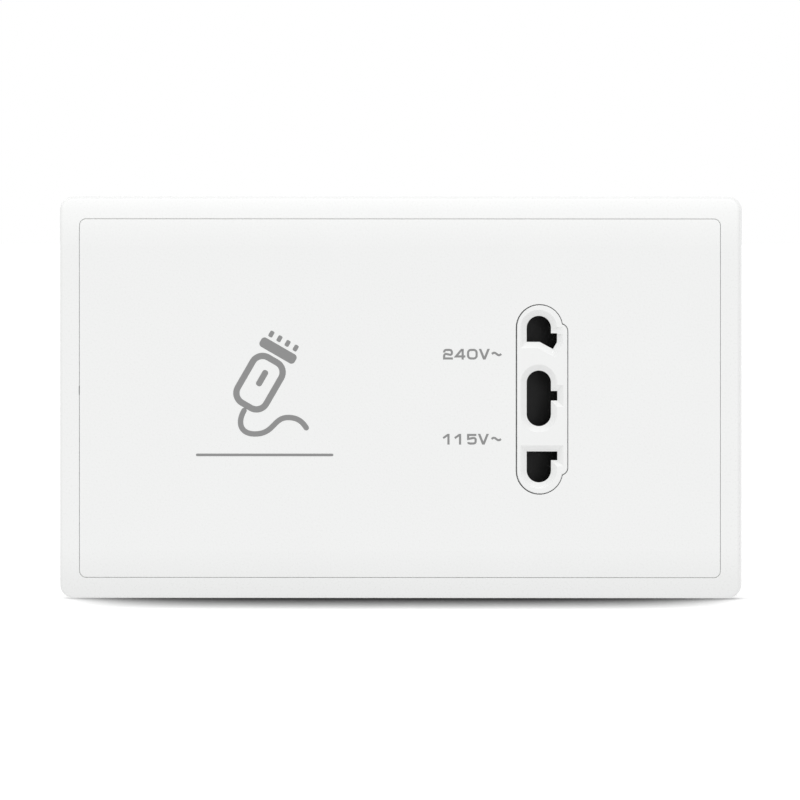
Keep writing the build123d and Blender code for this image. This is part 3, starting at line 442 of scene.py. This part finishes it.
def shaver_sign(ink):
    """A plain sign of an electric shaver, which leans to the right, and its cord."""
    body_w, body_h, body_r = 7.0, 11.2, 2.4
    button_w, button_h, button_r, button_z = 1.3, 3.8, 0.6, 0.6 * body_h
    head_w, head_t, head_r = 8.6, 2.2, 0.8
    teeth, tooth_w, tooth_h, tooth_r, tooth_pitch = 4, 0.95, 1.4, 0.3, 2.0
    gap = 0.55
    upright = stroke(rounded(body_w, body_h, body_r, (0, body_h / 2)), SIGN_STROKE, closed=True)
    upright.append(rounded(button_w, button_h, button_r, (0, button_z)))
    head_z = body_h + SIGN_STROKE / 2 + gap + head_t / 2
    upright.append(rounded(head_w, head_t, head_r, (0, head_z)))
    tooth_z = head_z + head_t / 2 + gap + tooth_h / 2
    for i in range(teeth):
        x = (i - (teeth - 1) / 2) * tooth_pitch
        upright.append(rounded(tooth_w, tooth_h, tooth_r, (x, tooth_z)))
    lean = Matrix.Rotation(-math.radians(SIGN_TILT), 2)
    faces = [[lean @ Vector(point) + Vector(SIGN_FOOT) for point in face] for face in upright]
    cord = []
    for part in CORD_CURVES:
        cord += curve(*part)[1 if cord else 0:]
    faces += stroke(cord, CORD_STROKE, soft=True)
    print_piece("shaver_sign", faces, ink)


def rule(ink):
    """A thin line under the sign."""
    line = [(x, RULE_Z) for x in (RULE_XS[0] + RULE_T / 2, RULE_XS[1] - RULE_T / 2)]
    print_piece("sign_rule", stroke(line, RULE_T, soft=True), ink)


def calculate(tree, operation, first, second):
    """A math node on two sockets or numbers."""
    made = tree.nodes.new("ShaderNodeMath")
    made.operation = operation
    for socket, value in zip(made.inputs, (first, second)):
        if isinstance(value, (int, float)):
            socket.default_value = value
        else:
            tree.links.new(value, socket)
    return made.outputs[0]


def floor_profile():
    """The floor from back to front as (Y, Z): level under the plate, then sloping down."""
    points = [(y, PLATE_FOOT_Z) for y in (*reversed(FLOOR_YS), FALL_START_Y)]
    y, z = points[-1]
    for i in range(BEND_STEPS):
        slope = math.radians(FALL) * (i + 0.5) / BEND_STEPS
        y, z = y - BEND_STEP * math.cos(slope), z - BEND_STEP * math.sin(slope)
        points.append((y, z))
    fall = math.tan(math.radians(FALL))
    return points + [(y - reach, z - reach * fall) for reach in FLOOR_YS]


def floor_white():
    """White to the eye, with a painted shadow that darkens its colour close to the plate.

    Other rays pass through it, so light comes from below too.
    """
    material = bpy.data.materials.new("floor_white")
    material.use_nodes = True
    tree = material.node_tree
    tree.nodes.clear()
    closeness = add(tree, "ShaderNodeAmbientOcclusion", Distance=SHADOW_REACH)
    closeness.samples = SHADOW_SAMPLES
    place = tree.nodes.new("ShaderNodeNewGeometry")
    axes = tree.nodes.new("ShaderNodeSeparateXYZ")
    tree.links.new(place.outputs["Position"], axes.inputs[0])
    offset = calculate(tree, "SUBTRACT", axes.outputs["X"], SHADOW_X)
    aside = calculate(tree, "ABSOLUTE", offset, 0.0)
    fade = calculate(tree, "POWER", calculate(tree, "DIVIDE", aside, SHADOW_HALF_W), SHADOW_FADE)
    under = calculate(tree, "MAXIMUM", calculate(tree, "SUBTRACT", 1.0, fade), 0.0)
    front = add(tree, "ShaderNodeMapRange", From_Min=-SHADOW_TURN, From_Max=SHADOW_TURN,
                To_Min=SHADOW_POWER, To_Max=BACK_SHADOW_POWER)
    tree.links.new(axes.outputs["Y"], front.inputs["Value"])
    power = calculate(tree, "MULTIPLY", under, front.outputs[0])
    # Painted shadow: the floor's colour and glow are its openness raised to a power
    openness = calculate(tree, "MAXIMUM", closeness.outputs["AO"], SHADOW_DEEPEST)
    shadow = calculate(tree, "POWER", openness, power)
    seen = tree.nodes.new("ShaderNodeBsdfDiffuse")
    tree.links.new(shadow, seen.inputs["Color"])
    glow = add(tree, "ShaderNodeEmission", Strength=FLOOR_GLOW)
    tree.links.new(shadow, glow.inputs["Color"])
    lit = tree.nodes.new("ShaderNodeAddShader")
    tree.links.new(seen.outputs[0], lit.inputs[0])
    tree.links.new(glow.outputs[0], lit.inputs[1])
    passed = tree.nodes.new("ShaderNodeBsdfTransparent")
    path = tree.nodes.new("ShaderNodeLightPath")
    mix = tree.nodes.new("ShaderNodeMixShader")
    out = tree.nodes.new("ShaderNodeOutputMaterial")
    tree.links.new(path.outputs["Is Camera Ray"], mix.inputs[0])
    tree.links.new(passed.outputs[0], mix.inputs[1])
    tree.links.new(lit.outputs[0], mix.inputs[2])
    tree.links.new(mix.outputs[0], out.inputs["Surface"])
    return material


def floor():
    """The floor that the plate stands on, in strips that are narrow near it."""
    right = FLOOR_NEAR_XS + FLOOR_FAR_XS
    columns = [-x for x in reversed(right[1:])] + list(right)
    profile = floor_profile()
    verts = [(x, y, z) for y, z in profile for x in columns]
    width = len(columns)
    faces = []
    for row in range(len(profile) - 1):
        for column in range(width - 1):
            corner = row * width + column
            faces.append((corner, corner + width, corner + width + 1, corner + 1))
    data = bpy.data.meshes.new("floor")
    data.from_pydata(verts, [], faces)
    data.shade_smooth()
    data.materials.append(floor_white())
    plane = bpy.data.objects.new("floor", data)
    bpy.context.scene.collection.objects.link(plane)


def sky():
    """Light from all round, about half as strong from behind.

    The eye, mirrors and clear things see it as plain white.
    """
    world = bpy.data.worlds.new("studio")
    bpy.context.scene.world = world
    world.use_nodes = True
    tree = world.node_tree
    tree.nodes.clear()
    place = tree.nodes.new("ShaderNodeTexCoord")
    axes = tree.nodes.new("ShaderNodeSeparateXYZ")
    depth = add(tree, "ShaderNodeMapRange", From_Min=-1.0, From_Max=1.0,
                To_Min=FRONT_SKY, To_Max=BACK_SKY)
    light = add(tree, "ShaderNodeBackground", Color=(1, 1, 1, 1))
    white = add(tree, "ShaderNodeBackground", Color=(1, 1, 1, 1), Strength=1.0)
    path = tree.nodes.new("ShaderNodeLightPath")
    mirrored = calculate(tree, "MAXIMUM", path.outputs["Is Glossy Ray"],
                         path.outputs["Is Transmission Ray"])
    direct = calculate(tree, "MAXIMUM", path.outputs["Is Camera Ray"], mirrored)
    mix = tree.nodes.new("ShaderNodeMixShader")
    out = tree.nodes.new("ShaderNodeOutputWorld")
    tree.links.new(place.outputs["Generated"], axes.inputs[0])
    tree.links.new(axes.outputs["Y"], depth.inputs["Value"])
    tree.links.new(depth.outputs[0], light.inputs["Strength"])
    tree.links.new(direct, mix.inputs[0])
    tree.links.new(light.outputs[0], mix.inputs[1])
    tree.links.new(white.outputs[0], mix.inputs[2])
    tree.links.new(mix.outputs[0], out.inputs["Surface"])


def sun():
    """A wide soft lamp overhead. At a strength of 1 it alone would show white as white."""
    data = bpy.data.lights.new("lamp_top", "SUN")
    data.energy = TOP_SUN * math.pi
    data.angle = math.radians(SUN_SOFTNESS)
    lamp = bpy.data.objects.new("lamp_top", data)
    lamp.rotation_mode = "QUATERNION"
    lamp.rotation_quaternion = Vector(SUN_LINE).to_track_quat("-Z", "Y")
    bpy.context.scene.collection.objects.link(lamp)


def camera():
    """A camera before the plate, a little to the right and above, framed as the photograph is."""
    data = bpy.data.cameras.new("camera")
    data.sensor_width = SENSOR
    data.lens = SENSOR * CAMERA_DISTANCE / (IMAGE_PX / PX_PER_MM * MM)
    data.clip_end = CLIP_END
    view = bpy.data.objects.new("camera", data)
    x, z = [(IMAGE_PX / 2 - place) / PX_PER_MM * MM for place in FACE_CENTRE_PX]
    azimuth, elevation = math.radians(CAMERA_AZIMUTH), math.radians(CAMERA_ELEVATION)
    level = math.cos(elevation)
    away = Vector((math.sin(azimuth) * level, -math.cos(azimuth) * level, math.sin(elevation)))
    view.location = Vector((x, FACE_Y, -z)) + CAMERA_DISTANCE * away
    view.rotation_mode = "QUATERNION"
    view.rotation_quaternion = (-away).to_track_quat("-Z", "Y")
    bpy.context.scene.collection.objects.link(view)
    bpy.context.scene.camera = view


ink_grey = dress_nodes()["ink_grey"]
return_spring()
numbers(ink_grey)
shaver_sign(ink_grey)
rule(ink_grey)
floor()
sky()
sun()
camera()
bpy.context.scene.view_settings.view_transform = "Standard"
